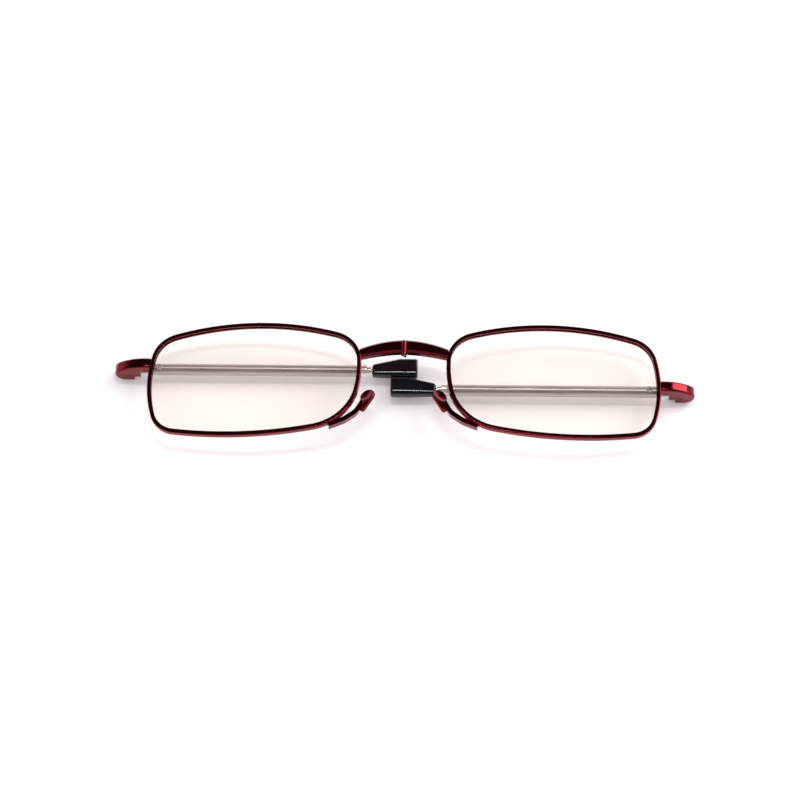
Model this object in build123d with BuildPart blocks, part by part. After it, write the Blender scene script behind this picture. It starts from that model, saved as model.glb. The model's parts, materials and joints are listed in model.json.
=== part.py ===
"""Folding reading glasses, lying folded with their front face up.

The metal front is two halves hinged at the middle of the bridge. Each half carries a lens, a
nose pad and a hooked end piece, and each end piece holds a temple that telescopes in three
stages. +X is to the right, +Y is up on the wearer's face and +Z is the way the lenses face.
Every piece is drawn for the +X half. The left half is its mirror image.
"""
import os
from math import cos, radians, sin

from build123d import *

# The front
FACE_FORM = 3.4  # each half leans back by this many degrees
FRONT_Z = 9.52  # height of the two front planes where they meet at X = 0
RIM_WIDTH = 0.95
RIM_DEPTH = 1.4
RIM_ROUND = 0.25
EYE_CORNERS = ((10.8, 9.5), (55.2, 10.0), (54.75, -12.25), (13.35, -10.7))
EYE_MIDDLES = ((36.3, 13.7), (57.1, 2.0), (39.5, -13.7), (10.05, 4.2))
EYE_RADII = (7.4, 6.8, 5.6, 12.0)
GROOVE_FRONT = 0.4
GROOVE_HEIGHT = 0.6
GROOVE_CUT = 0.25
SLIT = 0.15

# The lenses
LENS_GAP = 0.02
LENS_BACK = 1.2
LENS_CROWN = 0.4  # the middle of the lens stands this far in front of the rim
LENS_RADIUS = 600.0
LENS_MIDDLE = 33.6
RIDGE_CHAMFER = 0.12

# The bridge and its hinge
BRIDGE_REACH = 10.0
BRIDGE_TOP = 9.2
BRIDGE_TOP_END = 7.2
BRIDGE_BOTTOM = 6.0
BRIDGE_BOTTOM_END = 4.8
BRIDGE_DEPTH = 1.6
BRIDGE_BEVEL = 0.5
BRIDGE_HINGE_Z = FRONT_Z + 0.05
KNUCKLE_RADIUS = 0.55
KNUCKLE_LOW = 4.95
KNUCKLE_LENGTH = 1.15
KNUCKLE_GAP = 0.05
KNUCKLE_CLEARANCE = 0.06
BRIDGE_PIN_RADIUS = 0.22
PIN_CLEARANCE = 0.04
MEETING_GAP = 0.03

# The end pieces
END_HEIGHT = 2.5
END_START = (57.0, 6.12)
END_MIDDLE = (61.9, 5.6)
END_TURN = (64.4, 4.2)  # where the long arc of the back meets the tight arc of the hook
END_UNDER = 5.3
FOOT_IN = 61.0
FOOT_OUT = 63.0
EAR_IN = 59.5
EAR_LOW = 1.7
EAR_SLOT = 1.1
SLOT_TOP = 4.0
SLOT_REACH = 63.5
END_ROUND = 0.5

# The rim lock, which closes the slit rim on its lens
LOCK_IN = 56.9
LOCK_OUT = 59.4
LOCK_BOTTOM = 3.9
LOCK_SCREW_X = 58.5
LOCK_SCREW_Z = 4.6
LOCK_SCREW_RADIUS = 0.35
LOCK_HEAD_RADIUS = 0.55
LOCK_HEAD_HEIGHT = 0.4
DRIVER_SLOT = 0.18
DRIVER_DEPTH = 0.15

# The temple hinges
HINGE_X = 62.0
HINGE_Z = 2.3
HINGE_PIN_RADIUS = 0.5
EYE_RADIUS = 1.35
LEAF_THICKNESS = 1.04
LEAF_BOTTOM = 1.9
LEAF_TOP = 3.6
SHOULDER_OUT = 56.6
SPIGOT_IN = 53.6
RIVET_X = 55.2
RIVET_RADIUS = 0.45
RIVET_HEAD_RADIUS = 0.7
RIVET_SEAT_Z = 4.2
RIVET_HEAD_HEIGHT = 0.22
RIVET_DIMPLE_RADIUS = 0.35
RIVET_DIMPLE_DEPTH = 0.4

# The telescoping temples; each distance is measured from the middle of the glasses
TEMPLE_Z = 3.0
TUBE_OUT = 56.2
TUBE_IN = 9.0
TUBE_RADIUS = 1.3
TUBE_BORE = 1.15
COLLAR_RADIUS = 1.5
COLLAR_OUT = 9.6
COLLAR_IN = 8.4
MIDDLE_OUT = 50.0
MIDDLE_NECK_IN = 44.3
MIDDLE_IN = 7.45
MIDDLE_RADIUS = 1.05
MIDDLE_NECK_RADIUS = 0.95
MIDDLE_BORE = 0.8
GUIDE_LENGTH = 2.0
ROD_OUT = 49.8
ROD_NECK_IN = 44.6
ROD_IN = 1.5
ROD_RADIUS = 0.6
ROD_NECK_RADIUS = 0.45
SLIDE_CLEARANCE = 0.03

# The temple tips
TIP_NECK_X = 7.2
TIP_TAPER_X = 0.9
TIP_END_X = -3.05
TIP_TOP = 2.9  # above the rod's axis
TIP_BOTTOM = 1.6  # below the rod's axis
TIP_THICKNESS = 2.4
TIP_NECK_HEIGHT = 2.8
TIP_NECK_THICKNESS = 2.1
TIP_BEVEL = 0.4
TIP_END_BEVEL = 0.3

# The nose pads and their arms
ARM_ROUTE = ((16.6, -11.8, 7.5), (13.2, -10.3, 7.4), (10.6, -8.2, 7.0), (9.2, -5.3, 6.3))
ARM_BEND_RADIUS = 4.0
ARM_WIDTH = 1.1
ARM_DEPTH = 1.5
PAD_MIDDLE = Vector(8.35, -4.9, 6.6)
PAD_ACROSS = Vector(-3.2, -0.6, 2.0)
PAD_ALONG = Vector(-1.5, 5.0, -0.9)
PAD_WIDE_RADIUS = 1.75
PAD_WIDE_UP = 1.2
PAD_NARROW_RADIUS = 0.65
PAD_NARROW_DOWN = 2.5
PAD_THICKNESS = 1.1
PAD_ROUND = 0.4
PAD_DISH_RADIUS = 3.4
PAD_DISH_DEPTH = 0.45

TEMPLE_HEIGHTS = {"left": 4.4, "right": -0.3}


def lens_plane(depth, along=0.0):
    """The plane of the +X half's front, moved back by depth and outward by along."""
    outward = Vector(cos(radians(FACE_FORM)), 0, -sin(radians(FACE_FORM)))
    normal = Vector(sin(radians(FACE_FORM)), 0, cos(radians(FACE_FORM)))
    origin = Vector(0, 0, FRONT_Z) + outward * along - normal * depth
    return Plane(origin=origin, x_dir=outward, z_dir=normal)


def side_plane(y):
    """A plane facing down the wearer's face, with X and Z as its own two axes."""
    return Plane(origin=(0, y, 0), x_dir=(1, 0, 0), z_dir=(0, -1, 0))


def tube_plane(x, y):
    """A plane across a folded temple, centred on the temple's axis and facing outward."""
    return Plane(origin=(x, y, TEMPLE_Z), x_dir=(0, 1, 0), z_dir=(1, 0, 0))


def eye_outline():
    """The middle line of the rim wire: four long arcs with rounded corners."""
    with BuildSketch() as outline:
        with BuildLine():
            for index, middle in enumerate(EYE_MIDDLES):
                ThreePointArc(EYE_CORNERS[index], middle, EYE_CORNERS[(index + 1) % 4])
        make_face()
        for corner, radius in zip(EYE_CORNERS, EYE_RADII):
            fillet(outline.vertices().sort_by_distance(corner)[0], radius=radius)
    return outline.sketch


def rim(eye, y):
    """A grooved wire ring, slit at its outer side between the two blocks of the rim lock."""
    with BuildPart() as ring:
        with BuildSketch(lens_plane(RIM_DEPTH)):
            add(eye)
            offset(amount=RIM_WIDTH / 2)
        extrude(amount=RIM_DEPTH)
        broad_faces = ring.faces().sort_by(SortBy.AREA)[-2:]
        fillet(broad_faces.edges(), radius=RIM_ROUND)
        with BuildSketch(lens_plane(RIM_DEPTH)):
            add(eye)
            offset(amount=-RIM_WIDTH / 2)
        extrude(amount=RIM_DEPTH, mode=Mode.SUBTRACT)
        with BuildSketch(lens_plane(GROOVE_FRONT + GROOVE_HEIGHT)):
            add(eye)
            offset(amount=GROOVE_CUT - RIM_WIDTH / 2)
        extrude(amount=GROOVE_HEIGHT, mode=Mode.SUBTRACT)
        with BuildSketch(side_plane(y)):
            with Locations(((LOCK_IN + LOCK_OUT) / 2, (LOCK_BOTTOM + END_UNDER) / 2)):
                Rectangle(LOCK_OUT - LOCK_IN, END_UNDER - LOCK_BOTTOM)
        extrude(amount=END_HEIGHT / 2, both=True)
        with BuildSketch(side_plane(y)):
            with Locations((LOCK_SCREW_X, LOCK_SCREW_Z)):
                Circle(LOCK_SCREW_RADIUS)
        extrude(amount=END_HEIGHT, both=True, mode=Mode.SUBTRACT)
        with BuildSketch(side_plane(y - END_HEIGHT / 2)):
            with Locations((LOCK_SCREW_X, LOCK_SCREW_Z)):
                Circle(LOCK_HEAD_RADIUS)
        extrude(amount=-LOCK_HEAD_HEIGHT, mode=Mode.SUBTRACT)
        with BuildSketch(side_plane(y)):
            with Locations((LOCK_OUT, END_UNDER)):
                Rectangle(2 * (LOCK_OUT - LOCK_IN + RIM_WIDTH), 2 * END_UNDER)
        extrude(amount=SLIT / 2, both=True, mode=Mode.SUBTRACT)
    return ring.part


def rim_lock_screw(y):
    """The slotted screw that pulls the two lock blocks together."""
    with BuildPart() as screw:
        with BuildSketch(side_plane(y)):
            with Locations((LOCK_SCREW_X, LOCK_SCREW_Z)):
                Circle(LOCK_SCREW_RADIUS)
        extrude(amount=END_HEIGHT / 2, both=True)
        with BuildSketch(side_plane(y - END_HEIGHT / 2)):
            with Locations((LOCK_SCREW_X, LOCK_SCREW_Z)):
                Circle(LOCK_HEAD_RADIUS)
        extrude(amount=-LOCK_HEAD_HEIGHT)
        with BuildSketch(side_plane(y - END_HEIGHT / 2)):
            with Locations((LOCK_SCREW_X, LOCK_SCREW_Z)):
                Rectangle(2 * LOCK_HEAD_RADIUS, DRIVER_SLOT)
        extrude(amount=-DRIVER_DEPTH, mode=Mode.SUBTRACT)
    return screw.part


def lens(eye):
    """A slightly domed lens whose bevelled ridge sits in the rim's groove."""
    with BuildPart() as glass:
        with BuildSketch(lens_plane(GROOVE_FRONT + GROOVE_HEIGHT - LENS_GAP)):
            add(eye)
            offset(amount=GROOVE_CUT - RIM_WIDTH / 2 - LENS_GAP)
        extrude(amount=GROOVE_HEIGHT - 2 * LENS_GAP)
        broad_faces = glass.faces().sort_by(SortBy.AREA)[-2:]
        chamfer(broad_faces.edges(), length=RIDGE_CHAMFER)
        with BuildSketch(lens_plane(LENS_BACK)):
            add(eye)
            offset(amount=-RIM_WIDTH / 2 - LENS_GAP)
        extrude(amount=LENS_BACK + LENS_CROWN)
        with Locations(lens_plane(LENS_RADIUS - LENS_CROWN, LENS_MIDDLE).location):
            Sphere(LENS_RADIUS, mode=Mode.INTERSECT)
    return glass.part


def knuckle_middle(index):
    """The height of the middle of one of the three knuckles of the bridge hinge."""
    return KNUCKLE_LOW + KNUCKLE_LENGTH / 2 + index * (KNUCKLE_LENGTH + KNUCKLE_GAP)


def bridge_half(eye, own_knuckles, other_knuckles):
    """Half of the arched bridge, with its own knuckles and room for the other half's."""
    with BuildPart() as half:
        with BuildSketch(lens_plane(BRIDGE_DEPTH)):
            with BuildLine():
                top_end = (BRIDGE_REACH, BRIDGE_TOP_END)
                bottom_end = (BRIDGE_REACH, BRIDGE_BOTTOM_END)
                top_start = (-BRIDGE_REACH, BRIDGE_TOP_END)
                bottom_start = (-BRIDGE_REACH, BRIDGE_BOTTOM_END)
                ThreePointArc(top_start, (0, BRIDGE_TOP), top_end)
                Line(top_end, bottom_end)
                ThreePointArc(bottom_end, (0, BRIDGE_BOTTOM), bottom_start)
                Line(bottom_start, top_start)
            make_face()
        extrude(amount=BRIDGE_DEPTH)
        front = half.faces().sort_by(Axis.Z)[-1]
        chamfer(front.edges().filter_by(GeomType.CIRCLE), length=BRIDGE_BEVEL)
        split(bisect_by=Plane.YZ.offset(MEETING_GAP), keep=Keep.TOP)
        with BuildSketch(lens_plane(RIM_DEPTH)):
            add(eye)
            offset(amount=RIM_WIDTH / 2)
        extrude(amount=2 * RIM_DEPTH, both=True, mode=Mode.SUBTRACT)
        for index in other_knuckles:
            with BuildSketch(side_plane(knuckle_middle(index))):
                with Locations((0, BRIDGE_HINGE_Z)):
                    Circle(KNUCKLE_RADIUS + KNUCKLE_CLEARANCE)
            extrude(amount=KNUCKLE_LENGTH / 2 + KNUCKLE_GAP, both=True, mode=Mode.SUBTRACT)
        for index in own_knuckles:
            with BuildSketch(side_plane(knuckle_middle(index))):
                with Locations((0, BRIDGE_HINGE_Z)):
                    Circle(KNUCKLE_RADIUS)
                with Locations((KNUCKLE_RADIUS / 2, BRIDGE_HINGE_Z - KNUCKLE_RADIUS)):
                    Rectangle(KNUCKLE_RADIUS - 2 * MEETING_GAP, KNUCKLE_RADIUS)
            extrude(amount=KNUCKLE_LENGTH / 2, both=True)
        bore = BRIDGE_PIN_RADIUS if len(own_knuckles) > 1 else BRIDGE_PIN_RADIUS + PIN_CLEARANCE
        with BuildSketch(side_plane(knuckle_middle(1))):
            with Locations((0, BRIDGE_HINGE_Z)):
                Circle(bore)
        extrude(amount=2 * KNUCKLE_LENGTH, both=True, mode=Mode.SUBTRACT)
    return half.part


def bridge_hinge_pin():
    """The plain pin through the three knuckles, flush at both ends."""
    with BuildPart() as pin:
        with BuildSketch(side_plane(knuckle_middle(1))):
            with Locations((0, BRIDGE_HINGE_Z)):
                Circle(BRIDGE_PIN_RADIUS)
        extrude(amount=1.5 * KNUCKLE_LENGTH + KNUCKLE_GAP, both=True)
    return pin.part


def end_piece(eye, y):
    """A flat arm bent back into a hook, whose back is slotted into the two hinge ears."""
    with BuildPart() as hook:
        with BuildSketch(side_plane(y)):
            with BuildLine():
                back = ThreePointArc(END_START, END_MIDDLE, END_TURN)
                bend = TangentArc(back @ 1, (FOOT_OUT, 0), tangent=back % 1)
                Polyline(
                    bend @ 1,
                    (FOOT_IN, 0),
                    (FOOT_IN, EAR_LOW),
                    (EAR_IN, EAR_LOW),
                    (EAR_IN, END_UNDER),
                    (END_START[0], END_UNDER),
                    back @ 0,
                )
            make_face()
        extrude(amount=END_HEIGHT / 2, both=True)
        sides = hook.faces().filter_by(Axis.Y)
        fillet(sides.edges().filter_by(GeomType.CIRCLE), radius=END_ROUND)
        with BuildSketch(side_plane(y)):
            Rectangle(2 * SLOT_REACH, 2 * SLOT_TOP)
        extrude(amount=EAR_SLOT / 2, both=True, mode=Mode.SUBTRACT)
        with BuildSketch(side_plane(y)):
            with Locations((HINGE_X, HINGE_Z)):
                Circle(HINGE_PIN_RADIUS)
        extrude(amount=END_HEIGHT, both=True, mode=Mode.SUBTRACT)
        with BuildSketch(lens_plane(RIM_DEPTH)):
            add(eye)
            offset(amount=RIM_WIDTH / 2)
        extrude(amount=2 * RIM_DEPTH, both=True, mode=Mode.SUBTRACT)
    return hook.part


def temple_hinge_pin(y):
    """The slotted pin through the ears of the end piece and the eye of the leaf."""
    with BuildPart() as pin:
        with BuildSketch(side_plane(y)):
            with Locations((HINGE_X, HINGE_Z)):
                Circle(HINGE_PIN_RADIUS)
        extrude(amount=END_HEIGHT / 2, both=True)
        with BuildSketch(side_plane(y - END_HEIGHT / 2)):
            with Locations((HINGE_X, HINGE_Z)):
                Rectangle(2 * HINGE_PIN_RADIUS, DRIVER_SLOT)
        extrude(amount=-DRIVER_DEPTH, mode=Mode.SUBTRACT)
    return pin.part


def temple_hinge_leaf(y):
    """The flat leaf with its eye, and the round spigot that plugs the outer tube."""
    with BuildPart() as leaf:
        with BuildSketch(side_plane(y)):
            with Locations((HINGE_X, HINGE_Z)):
                Circle(EYE_RADIUS)
            with Locations(((SHOULDER_OUT + HINGE_X) / 2, (LEAF_BOTTOM + LEAF_TOP) / 2)):
                Rectangle(HINGE_X - SHOULDER_OUT, LEAF_TOP - LEAF_BOTTOM)
        extrude(amount=LEAF_THICKNESS / 2, both=True)
        with BuildSketch(tube_plane(TUBE_OUT, y)):
            Circle(TUBE_RADIUS)
        extrude(amount=SHOULDER_OUT - TUBE_OUT)
        with BuildSketch(tube_plane(SPIGOT_IN, y)):
            Circle(TUBE_BORE)
        extrude(amount=TUBE_OUT - SPIGOT_IN)
        with BuildSketch(side_plane(y)):
            with Locations((HINGE_X, HINGE_Z)):
                Circle(HINGE_PIN_RADIUS + PIN_CLEARANCE)
        extrude(amount=LEAF_THICKNESS, both=True, mode=Mode.SUBTRACT)
        with BuildSketch(Plane.XY):
            with Locations((RIVET_X, y)):
                Circle(RIVET_RADIUS)
        extrude(amount=2 * TEMPLE_Z, mode=Mode.SUBTRACT)
    return leaf.part


def leaf_rivet(y):
    """The rivet that locks the spigot in the tube, with a dimpled round head."""
    with BuildPart() as rivet:
        with BuildSketch(Plane.XY.offset(TEMPLE_Z - TUBE_RADIUS)):
            with Locations((RIVET_X, y)):
                Circle(RIVET_RADIUS)
        extrude(amount=RIVET_SEAT_Z - TEMPLE_Z + TUBE_RADIUS)
        with BuildSketch(Plane.XY.offset(RIVET_SEAT_Z)):
            with Locations((RIVET_X, y)):
                Circle(RIVET_HEAD_RADIUS)
        extrude(amount=RIVET_HEAD_HEIGHT)
        with BuildSketch(Plane.XY.offset(RIVET_SEAT_Z + RIVET_HEAD_HEIGHT)):
            with Locations((RIVET_X, y)):
                Circle(RIVET_DIMPLE_RADIUS)
        extrude(amount=-RIVET_DIMPLE_DEPTH, mode=Mode.SUBTRACT)
    return rivet.part


def outer_tube(y):
    """The fixed outer stage of the temple, with the rivet's hole and seat."""
    with BuildPart() as tube:
        with BuildSketch(tube_plane(TUBE_IN, y)):
            Circle(TUBE_RADIUS)
            Circle(TUBE_BORE, mode=Mode.SUBTRACT)
        extrude(amount=TUBE_OUT - TUBE_IN)
        with BuildSketch(Plane.XY):
            with Locations((RIVET_X, y)):
                Circle(RIVET_RADIUS)
        extrude(amount=2 * TEMPLE_Z, mode=Mode.SUBTRACT)
        with BuildSketch(Plane.XY.offset(RIVET_SEAT_Z)):
            with Locations((RIVET_X, y)):
                Circle(RIVET_HEAD_RADIUS + SLIDE_CLEARANCE)
        extrude(amount=TUBE_RADIUS, mode=Mode.SUBTRACT)
    return tube.part


def tube_collar(y):
    """The cap on the mouth of the outer tube, which guides and stops the middle tube."""
    with BuildPart() as collar:
        with BuildSketch(tube_plane(COLLAR_IN, y)):
            Circle(COLLAR_RADIUS)
        extrude(amount=COLLAR_OUT - COLLAR_IN)
        rims = collar.faces().filter_by(Axis.X).edges()
        fillet(rims, radius=(COLLAR_RADIUS - TUBE_RADIUS) / 2)
        with BuildSketch(tube_plane(COLLAR_IN, y)):
            Circle(MIDDLE_RADIUS + SLIDE_CLEARANCE)
        extrude(amount=TUBE_IN - COLLAR_IN, mode=Mode.SUBTRACT)
        with BuildSketch(tube_plane(TUBE_IN, y)):
            Circle(TUBE_RADIUS)
        extrude(amount=COLLAR_OUT - TUBE_IN, mode=Mode.SUBTRACT)
    return collar.part


def middle_tube(y):
    """The second stage of the temple, necked down at its far end for its bush."""
    with BuildPart() as tube:
        with BuildSketch(tube_plane(MIDDLE_IN, y)):
            Circle(MIDDLE_RADIUS)
        extrude(amount=MIDDLE_NECK_IN - MIDDLE_IN)
        with BuildSketch(tube_plane(MIDDLE_NECK_IN, y)):
            Circle(MIDDLE_NECK_RADIUS)
        extrude(amount=MIDDLE_OUT - MIDDLE_NECK_IN)
        with BuildSketch(tube_plane(MIDDLE_IN, y)):
            Circle(MIDDLE_BORE)
        extrude(amount=MIDDLE_OUT - MIDDLE_IN, mode=Mode.SUBTRACT)
    return tube.part


def sleeve(x_in, x_out, y, bore, radius):
    """A plain round bush from x_in to x_out on the temple's axis."""
    with BuildPart() as bush:
        with BuildSketch(tube_plane(x_in, y)):
            Circle(radius)
            Circle(bore, mode=Mode.SUBTRACT)
        extrude(amount=x_out - x_in)
    return bush.part


def inner_rod(y):
    """The solid third stage of the temple, necked down at its far end for its bush."""
    with BuildPart() as rod:
        with BuildSketch(tube_plane(ROD_IN, y)):
            Circle(ROD_RADIUS)
        extrude(amount=ROD_NECK_IN - ROD_IN)
        with BuildSketch(tube_plane(ROD_NECK_IN, y)):
            Circle(ROD_NECK_RADIUS)
        extrude(amount=ROD_OUT - ROD_NECK_IN)
    return rod.part


def tip_section(x, y, height, thickness):
    """A cross-section of the ear tip: a rectangle with bevelled corners."""
    with BuildSketch(tube_plane(x, y)) as section:
        Rectangle(height, thickness)
        chamfer(section.vertices(), length=TIP_BEVEL)
    return section.sketch


def temple_tip(y):
    """The ear tip: a bevelled bar that grows from its neck to its end, bored for the rod."""
    end_height = TIP_TOP + TIP_BOTTOM
    end_y = y + (TIP_TOP - TIP_BOTTOM) / 2
    with BuildPart() as tip:
        add(tip_section(TIP_NECK_X, y, TIP_NECK_HEIGHT, TIP_NECK_THICKNESS))
        add(tip_section(TIP_TAPER_X, end_y, end_height, TIP_THICKNESS))
        loft()
        extrude(tip_section(TIP_END_X, end_y, end_height, TIP_THICKNESS), TIP_TAPER_X - TIP_END_X)
        ends = tip.faces().filter_by(Axis.X).sort_by(Axis.X)
        chamfer(ends[0].edges(), length=TIP_END_BEVEL)
        with BuildSketch(tube_plane(ROD_IN, y)):
            Circle(ROD_RADIUS)
        extrude(amount=TIP_NECK_X - ROD_IN, mode=Mode.SUBTRACT)
    return tip.part


def nose_pad():
    """A pear-shaped pad, narrow towards its arm and dished on its front."""
    normal = PAD_ACROSS.cross(PAD_ALONG)
    pad_plane = Plane(origin=PAD_MIDDLE, x_dir=PAD_ACROSS, z_dir=normal)
    with BuildPart() as pad:
        with BuildSketch(pad_plane):
            with Locations((0, PAD_WIDE_UP)):
                Circle(PAD_WIDE_RADIUS)
            with Locations((0, -PAD_NARROW_DOWN)):
                Circle(PAD_NARROW_RADIUS)
            make_hull()
        extrude(amount=PAD_THICKNESS / 2, both=True)
        fillet(pad.edges(), radius=PAD_ROUND)
        dish_rise = PAD_THICKNESS / 2 - PAD_DISH_DEPTH + PAD_DISH_RADIUS
        with Locations(pad_plane.location * Location((0, PAD_WIDE_UP, -dish_rise))):
            Sphere(PAD_DISH_RADIUS, mode=Mode.SUBTRACT)
    return pad.part


def nose_pad_arm(eye, pad):
    """The bent flat bar from the rim to the back of the pad, notched to fit them both."""
    with BuildPart() as arm:
        with BuildLine():
            route = FilletPolyline(*ARM_ROUTE, radius=ARM_BEND_RADIUS)
        with BuildSketch(Plane(origin=route @ 0, x_dir=(0, 0, 1), z_dir=route % 0)):
            Rectangle(ARM_DEPTH, ARM_WIDTH)
        sweep()
        add(pad, mode=Mode.SUBTRACT)
        with BuildSketch(lens_plane(RIM_DEPTH)):
            add(eye)
            offset(amount=RIM_WIDTH / 2)
        extrude(amount=2 * RIM_DEPTH, mode=Mode.SUBTRACT)
    return arm.part


def save(part, name):
    """Name one finished piece and write its file."""
    part.label = name
    export_step(part, f"parts/{name}.step")


def front_pieces(side, y):
    """The pieces of one half of the front, drawn for the +X side."""
    eye = eye_outline()
    pad = nose_pad()
    knuckles = {"left": ((1,), (0, 2)), "right": ((0, 2), (1,))}[side]
    return {
        "rim": rim(eye, y),
        "rim_lock_screw": rim_lock_screw(y),
        "lens": lens(eye),
        "bridge_half": bridge_half(eye, *knuckles),
        "end_piece": end_piece(eye, y),
        "temple_hinge_pin": temple_hinge_pin(y),
        "nose_pad": pad,
        "nose_pad_arm": nose_pad_arm(eye, pad),
    }


def temple_pieces(y):
    """The pieces of one temple, drawn for the +X side."""
    guide_out = MIDDLE_IN + GUIDE_LENGTH
    middle_bush_radius = TUBE_BORE - SLIDE_CLEARANCE
    rod_bush_radius = MIDDLE_BORE - SLIDE_CLEARANCE
    guide_bore = ROD_RADIUS + SLIDE_CLEARANCE
    return {
        "temple_hinge_leaf": temple_hinge_leaf(y),
        "leaf_rivet": leaf_rivet(y),
        "outer_tube": outer_tube(y),
        "tube_collar": tube_collar(y),
        "middle_tube": middle_tube(y),
        "middle_tube_bush": sleeve(
            MIDDLE_NECK_IN, MIDDLE_OUT, y, MIDDLE_NECK_RADIUS, middle_bush_radius
        ),
        "rod_guide": sleeve(MIDDLE_IN, guide_out, y, guide_bore, MIDDLE_BORE),
        "inner_rod": inner_rod(y),
        "rod_bush": sleeve(ROD_NECK_IN, ROD_OUT, y, ROD_NECK_RADIUS, rod_bush_radius),
        "temple_tip": temple_tip(y),
    }


os.makedirs("parts", exist_ok=True)
for side, height in TEMPLE_HEIGHTS.items():
    pieces = front_pieces(side, height) | temple_pieces(height)
    for name, piece in pieces.items():
        if side == "left":
            piece = mirror(piece, about=Plane.YZ)
        save(piece, f"{side}_{name}")
save(bridge_hinge_pin(), "bridge_hinge_pin")
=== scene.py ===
"""Folding reading glasses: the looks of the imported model, with its camera, floor and lights."""
import json
import math

import bmesh
import bpy
from mathutils import Matrix, Vector


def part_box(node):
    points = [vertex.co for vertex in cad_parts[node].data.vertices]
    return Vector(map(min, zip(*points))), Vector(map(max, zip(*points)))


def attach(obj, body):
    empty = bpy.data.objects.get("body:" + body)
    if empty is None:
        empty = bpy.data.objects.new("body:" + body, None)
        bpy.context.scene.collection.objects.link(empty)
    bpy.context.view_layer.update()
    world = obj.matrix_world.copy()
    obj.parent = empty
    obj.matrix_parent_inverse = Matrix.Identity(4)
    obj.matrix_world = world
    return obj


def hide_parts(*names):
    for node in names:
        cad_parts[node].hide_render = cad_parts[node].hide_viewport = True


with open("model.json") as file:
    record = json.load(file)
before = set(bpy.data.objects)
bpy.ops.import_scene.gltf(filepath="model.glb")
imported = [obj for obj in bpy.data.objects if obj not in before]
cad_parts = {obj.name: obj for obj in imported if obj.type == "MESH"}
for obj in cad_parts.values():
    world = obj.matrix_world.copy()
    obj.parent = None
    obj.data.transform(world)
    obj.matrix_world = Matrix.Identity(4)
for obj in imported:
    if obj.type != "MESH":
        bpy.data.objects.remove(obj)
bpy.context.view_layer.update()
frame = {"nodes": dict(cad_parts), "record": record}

SIDES = ("left", "right")
MM = 0.001

# The camera, in millimetres and degrees
CAMERA_AIM = (-0.71, -6.24, 9.52)
CAMERA_ELEVATION = 62.55
CAMERA_TURN = 2.04
CAMERA_ROLL = 1.29
CAMERA_DISTANCE = 631.0
CAMERA_LENS = 128.0

# The lights, in metres and watts
KEY_PLACE = (0.7, 0.4, 0.6)
KEY_SIZE = (0.6, 0.6)
KEY_POWER = 5.0
STRIP_PLACE = (0.03, 0.16, 0.78)
STRIP_SIZE = (0.3, 0.045)
STRIP_POWER = 1.1
SOFT_LIGHT = 1.0
SOFT_COLOUR = (1.0, 0.955, 0.97, 1.0)
SKY_HORIZON = (0.3, (0.9, 0.9, 0.92))  # height and colour, for mirrors only
SKY_TOP = (0.62, (0.035, 0.035, 0.038))

# The floor reaches this far each way, in metres
FLOOR_HALF = 3.0

# The part of a noise texture's range that holds nearly all its values
NOISE_LOW = 0.3
NOISE_HIGH = 0.7

# The ear tips, in metres
TIP_RING_POINTS = 48
TIP_SQUARENESS = 4.0
TIP_TAPER = 0.0063
TIP_NECK_HALF = 0.00138
TIP_NECK_DEPTH = 0.00104
TIP_EDGE = 0.0005
TIP_STATIONS = 40


# Node helpers

def new_material(name):
    """An empty material with its tree, its Principled shader and its output."""
    material = bpy.data.materials.new(name)
    material.use_nodes = True
    tree = material.node_tree
    tree.nodes.clear()
    output = tree.nodes.new("ShaderNodeOutputMaterial")
    shader = tree.nodes.new("ShaderNodeBsdfPrincipled")
    tree.links.new(shader.outputs["BSDF"], output.inputs["Surface"])
    return material, tree, shader


def noise(tree, scale, detail=3.0, stretch=(1.0, 1.0, 1.0)):
    """Noise over the object's own coordinates, with scale in features per metre."""
    place = tree.nodes.new("ShaderNodeTexCoord")
    mapping = tree.nodes.new("ShaderNodeMapping")
    mapping.inputs["Scale"].default_value = stretch
    texture = tree.nodes.new("ShaderNodeTexNoise")
    texture.inputs["Scale"].default_value = scale
    texture.inputs["Detail"].default_value = detail
    tree.links.new(place.outputs["Object"], mapping.inputs["Vector"])
    tree.links.new(mapping.outputs["Vector"], texture.inputs["Vector"])
    return texture.outputs["Fac"]


def remap(tree, value, low, high):
    """A noise value taken to low..high."""
    node = tree.nodes.new("ShaderNodeMapRange")
    node.inputs["From Min"].default_value = NOISE_LOW
    node.inputs["From Max"].default_value = NOISE_HIGH
    node.inputs["To Min"].default_value = low
    node.inputs["To Max"].default_value = high
    tree.links.new(value, node.inputs["Value"])
    return node.outputs["Result"]


def ramp(tree, value, first, last):
    """A colour between two stops along the value, each (position, (red, green, blue))."""
    node = tree.nodes.new("ShaderNodeValToRGB")
    elements = node.color_ramp.elements
    for element, (position, colour) in zip(elements, (first, last)):
        element.position = position
        element.color = (*colour, 1.0)
    tree.links.new(value, node.inputs["Fac"])
    return node.outputs["Color"]


def mottle(tree, value, dark, pale):
    """A noise value turned into a colour between dark and pale."""
    return ramp(tree, value, (NOISE_LOW, dark), (NOISE_HIGH, pale))


def bump(tree, shader, height, distance, strength):
    """Fine relief on the shader; distance is in metres."""
    node = tree.nodes.new("ShaderNodeBump")
    node.inputs["Strength"].default_value = strength
    node.inputs["Distance"].default_value = distance
    tree.links.new(height, node.inputs["Height"])
    tree.links.new(node.outputs["Normal"], shader.inputs["Normal"])


# Materials

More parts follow.
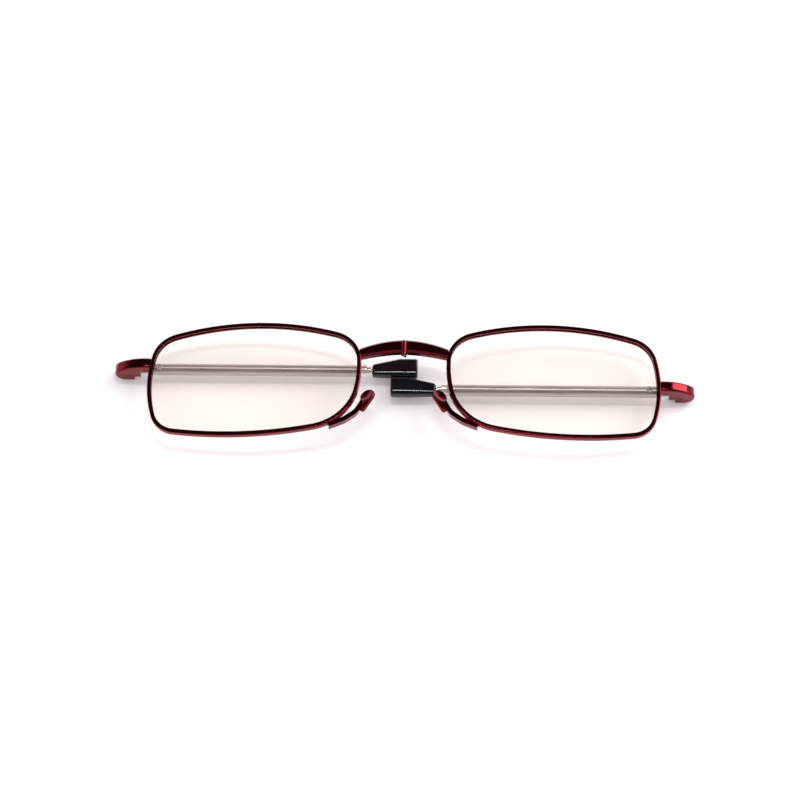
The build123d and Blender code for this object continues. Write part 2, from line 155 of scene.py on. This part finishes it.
def burgundy_lacquer():
    """Dark translucent burgundy lacquer over metal, with a clear coat and faint flow marks."""
    material, tree, shader = new_material("burgundy_lacquer")
    cloud = noise(tree, 450.0)
    colour = mottle(tree, cloud, (0.165, 0.006, 0.014), (0.205, 0.008, 0.018))
    tree.links.new(colour, shader.inputs["Base Color"])
    tree.links.new(remap(tree, cloud, 0.11, 0.15), shader.inputs["Roughness"])
    shader.inputs["Metallic"].default_value = 1.0
    shader.inputs["Coat Weight"].default_value = 0.3
    shader.inputs["Coat Roughness"].default_value = 0.04
    bump(tree, shader, noise(tree, 900.0, 2.0), 0.00002, 0.1)
    return material


def satin_steel():
    """Steel tube drawn along its length, with fine lengthwise lines and a frosted surface."""
    material, tree, shader = new_material("satin_steel")
    grain = noise(tree, 4000.0, 4.0, (0.03, 1.0, 1.0))
    colour = mottle(tree, grain, (0.40, 0.35, 0.34), (0.56, 0.50, 0.48))
    tree.links.new(colour, shader.inputs["Base Color"])
    tree.links.new(remap(tree, grain, 0.26, 0.38), shader.inputs["Roughness"])
    shader.inputs["Metallic"].default_value = 0.72
    bump(tree, shader, grain, 0.00002, 0.2)
    return material


def polished_steel():
    """Bright turned steel with faint smears."""
    material, tree, shader = new_material("polished_steel")
    smear = noise(tree, 700.0, 4.0)
    colour = mottle(tree, smear, (0.72, 0.67, 0.63), (0.86, 0.81, 0.77))
    tree.links.new(colour, shader.inputs["Base Color"])
    tree.links.new(remap(tree, smear, 0.12, 0.22), shader.inputs["Roughness"])
    shader.inputs["Metallic"].default_value = 0.65
    return material


def bush_plastic():
    """Plain natural nylon."""
    material, tree, shader = new_material("bush_plastic")
    cloud = noise(tree, 1500.0)
    colour = mottle(tree, cloud, (0.66, 0.64, 0.58), (0.76, 0.74, 0.68))
    tree.links.new(colour, shader.inputs["Base Color"])
    tree.links.new(remap(tree, cloud, 0.45, 0.6), shader.inputs["Roughness"])
    return material


def black_tip():
    """Glossy black moulding with a faint waviness."""
    material, tree, shader = new_material("black_tip")
    wave = noise(tree, 260.0, 2.0)
    colour = mottle(tree, wave, (0.003, 0.003, 0.004), (0.008, 0.008, 0.010))
    tree.links.new(colour, shader.inputs["Base Color"])
    tree.links.new(remap(tree, wave, 0.05, 0.10), shader.inputs["Roughness"])
    bump(tree, shader, wave, 0.0001, 0.15)
    return material


def lens_clear():
    """Clear lens: it tints what is behind it a little, and mirrors by angle.

    The mirror is on outward sides only: on a face seen from inside the lens, the Fresnel node
    would give total reflection, since this shader doesn't bend rays."""
    material, tree, shader = new_material("lens_clear")
    output = tree.nodes["Material Output"]
    tree.nodes.remove(shader)
    clear = tree.nodes.new("ShaderNodeBsdfTransparent")
    cloud = noise(tree, 60.0, 1.0)
    tint = mottle(tree, cloud, (0.987, 0.970, 0.945), (0.991, 0.976, 0.954))
    tree.links.new(tint, clear.inputs["Color"])
    mirror = tree.nodes.new("ShaderNodeBsdfGlossy")
    mirror.inputs["Roughness"].default_value = 0.02
    fresnel = tree.nodes.new("ShaderNodeFresnel")
    fresnel.inputs["IOR"].default_value = 1.3
    blend = tree.nodes.new("ShaderNodeMixShader")
    tree.links.new(fresnel.outputs["Fac"], blend.inputs["Fac"])
    tree.links.new(clear.outputs["BSDF"], blend.inputs[1])
    tree.links.new(mirror.outputs["BSDF"], blend.inputs[2])
    side_seen = tree.nodes.new("ShaderNodeNewGeometry")
    outside_only = tree.nodes.new("ShaderNodeMixShader")
    tree.links.new(side_seen.outputs["Backfacing"], outside_only.inputs["Fac"])
    tree.links.new(blend.outputs["Shader"], outside_only.inputs[1])
    tree.links.new(clear.outputs["BSDF"], outside_only.inputs[2])
    tree.links.new(outside_only.outputs["Shader"], output.inputs["Surface"])
    return material


def floor_paper():
    """Smooth white paper."""
    material, tree, shader = new_material("floor_paper")
    fibre = noise(tree, 300.0, 4.0)
    colour = mottle(tree, fibre, (0.885, 0.875, 0.885), (0.895, 0.885, 0.895))
    tree.links.new(colour, shader.inputs["Base Color"])
    shader.inputs["Roughness"].default_value = 0.8
    return material


MAKERS = {
    "burgundy_lacquer": burgundy_lacquer,
    "satin_steel": satin_steel,
    "polished_steel": polished_steel,
    "bush_plastic": bush_plastic,
    "black_tip": black_tip,
    "lens_clear": lens_clear,
}


def dress_nodes(materials):
    """Give each CAD node the material of its slot in the record."""
    for subpart in frame["record"]["subparts"]:
        node = frame["nodes"][subpart["node"]]
        node.data.materials.clear()
        node.data.materials.append(materials[subpart["material_slot"]])


# The ear tips

def tip_ring(centre, half_height, half_depth):
    """Points round a squarish oval across the temple, crowned on all its sides."""
    power = 2 / TIP_SQUARENESS
    ring = []
    for step in range(TIP_RING_POINTS):
        angle = 2 * math.pi * step / TIP_RING_POINTS
        across = math.copysign(abs(math.cos(angle)) ** power, math.cos(angle))
        deep = math.copysign(abs(math.sin(angle)) ** power, math.sin(angle))
        ring.append(centre + Vector((0, across * half_height, deep * half_depth)))
    return ring


def tip_station(low, high, axis_y, travel):
    """The ring at a distance from the neck, where low and high are the tip's corners."""
    length = high.x - low.x
    growth = min(travel / TIP_TAPER, 1)
    top = (high.y - axis_y) * growth + TIP_NECK_HALF * (1 - growth)
    bottom = (axis_y - low.y) * growth + TIP_NECK_HALF * (1 - growth)
    depth = (high.z - low.z) / 2 * growth + TIP_NECK_DEPTH * (1 - growth)
    near_end = min(travel, length - travel, TIP_EDGE)
    inset = TIP_EDGE - math.sqrt(TIP_EDGE**2 - (TIP_EDGE - near_end) ** 2)
    middle = Vector((0, axis_y + (top - bottom) / 2, (low.z + high.z) / 2))
    return tip_ring(middle, (top + bottom) / 2 - inset, depth - inset)


def tip_rings(side, low, high):
    """The tip's rings from its neck to its end, where low and high are its corners."""
    rod_low, rod_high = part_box(f"{side}_inner_rod")
    axis_y = (rod_low[1] + rod_high[1]) / 2
    neck_x, inward = (low.x, 1) if side == "left" else (high.x, -1)
    length = high.x - low.x
    rings = []
    for step in range(TIP_STATIONS + 1):
        travel = length * (1 - math.cos(math.pi * step / TIP_STATIONS)) / 2
        shift = Vector((neck_x + inward * travel, 0, 0))
        rings.append([point + shift for point in tip_station(low, high, axis_y, travel)])
    return rings


def tip_mesh(name, rings):
    """A smooth closed mesh over the rings."""
    shape = bmesh.new()
    loops = [[shape.verts.new(point) for point in ring] for ring in rings]
    for near, far in zip(loops, loops[1:]):
        for index in range(TIP_RING_POINTS):
            after = (index + 1) % TIP_RING_POINTS
            shape.faces.new((near[index], near[after], far[after], far[index])).smooth = True
    shape.faces.new(loops[0])
    shape.faces.new(loops[-1])
    bmesh.ops.recalc_face_normals(shape, faces=shape.faces)
    mesh = bpy.data.meshes.new(name)
    shape.to_mesh(mesh)
    shape.free()
    return mesh


def temple_tip(side, material):
    """A glossy moulded ear tip with soft edges, in place of the plain one."""
    node = f"{side}_temple_tip"
    low, high = (Vector(corner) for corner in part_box(node))
    mesh = tip_mesh(f"{side}_tip_moulding", tip_rings(side, low, high))
    mesh.materials.append(material)
    piece = bpy.data.objects.new(f"{side}_tip_moulding", mesh)
    bpy.context.collection.objects.link(piece)
    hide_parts(node)
    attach(piece, f"{side}_tip_stage")


# The setting

def floor():
    """A wide pale sheet under the glasses."""
    half = FLOOR_HALF
    mesh = bpy.data.meshes.new("floor")
    corners = [(-half, -half, 0), (half, -half, 0), (half, half, 0), (-half, half, 0)]
    mesh.from_pydata(corners, [], [(0, 1, 2, 3)])
    mesh.materials.append(floor_paper())
    sheet = bpy.data.objects.new("floor", mesh)
    bpy.context.collection.objects.link(sheet)


def camera():
    """The camera at the photograph's viewing angle."""
    elevation = math.radians(CAMERA_ELEVATION)
    turn = math.radians(CAMERA_TURN)
    back = Vector((
        math.sin(turn) * math.cos(elevation),
        -math.cos(turn) * math.cos(elevation),
        math.sin(elevation),
    ))
    right = Vector((math.cos(turn), math.sin(turn), 0))
    up = back.cross(right)
    axes = Matrix((right, up, back)).transposed()
    axes = axes @ Matrix.Rotation(math.radians(-CAMERA_ROLL), 3, "Z")
    data = bpy.data.cameras.new("camera")
    data.lens = CAMERA_LENS
    data.clip_start = 0.01
    eye = bpy.data.objects.new("camera", data)
    place = (Vector(CAMERA_AIM) + back * CAMERA_DISTANCE) * MM
    eye.matrix_world = Matrix.Translation(place) @ axes.to_4x4()
    bpy.context.collection.objects.link(eye)
    bpy.context.scene.camera = eye


def area_light(name, place, aim, size, power):
    """A soft rectangular light at place, in metres, that faces aim."""
    data = bpy.data.lights.new(name, "AREA")
    data.shape = "RECTANGLE"
    data.size, data.size_y = size
    data.energy = power
    lamp = bpy.data.objects.new(name, data)
    direction = Vector(aim) - Vector(place)
    lamp.rotation_mode = "QUATERNION"
    lamp.rotation_quaternion = direction.to_track_quat("-Z", "Y")
    lamp.location = place
    bpy.context.collection.objects.link(lamp)


def surround():
    """Even light for matt surfaces, and for mirrors a dark room with a pale horizon."""
    world = bpy.data.worlds.new("surround")
    bpy.context.scene.world = world
    world.use_nodes = True
    tree = world.node_tree
    tree.nodes.clear()
    output = tree.nodes.new("ShaderNodeOutputWorld")
    soft = tree.nodes.new("ShaderNodeBackground")
    soft.inputs["Color"].default_value = SOFT_COLOUR
    soft.inputs["Strength"].default_value = SOFT_LIGHT
    place = tree.nodes.new("ShaderNodeTexCoord")
    height = tree.nodes.new("ShaderNodeSeparateXYZ")
    tree.links.new(place.outputs["Generated"], height.inputs["Vector"])
    sky = ramp(tree, height.outputs["Z"], SKY_HORIZON, SKY_TOP)
    mirrored = tree.nodes.new("ShaderNodeBackground")
    tree.links.new(sky, mirrored.inputs["Color"])
    path = tree.nodes.new("ShaderNodeLightPath")
    blend = tree.nodes.new("ShaderNodeMixShader")
    tree.links.new(path.outputs["Is Glossy Ray"], blend.inputs["Fac"])
    tree.links.new(soft.outputs["Background"], blend.inputs[1])
    tree.links.new(mirrored.outputs["Background"], blend.inputs[2])
    tree.links.new(blend.outputs["Shader"], output.inputs["Surface"])


def lights():
    """A large soft box at the upper right, and a strip for the long highlights."""
    area_light("key", KEY_PLACE, (0, 0, 0), KEY_SIZE, KEY_POWER)
    area_light("strip", STRIP_PLACE, (0, 0, 0), STRIP_SIZE, STRIP_POWER)
    surround()
    bpy.context.scene.view_settings.view_transform = "Standard"


materials = {slot: make() for slot, make in MAKERS.items()}
dress_nodes(materials)
for side in SIDES:
    temple_tip(side, materials["black_tip"])
floor()
camera()
lights()
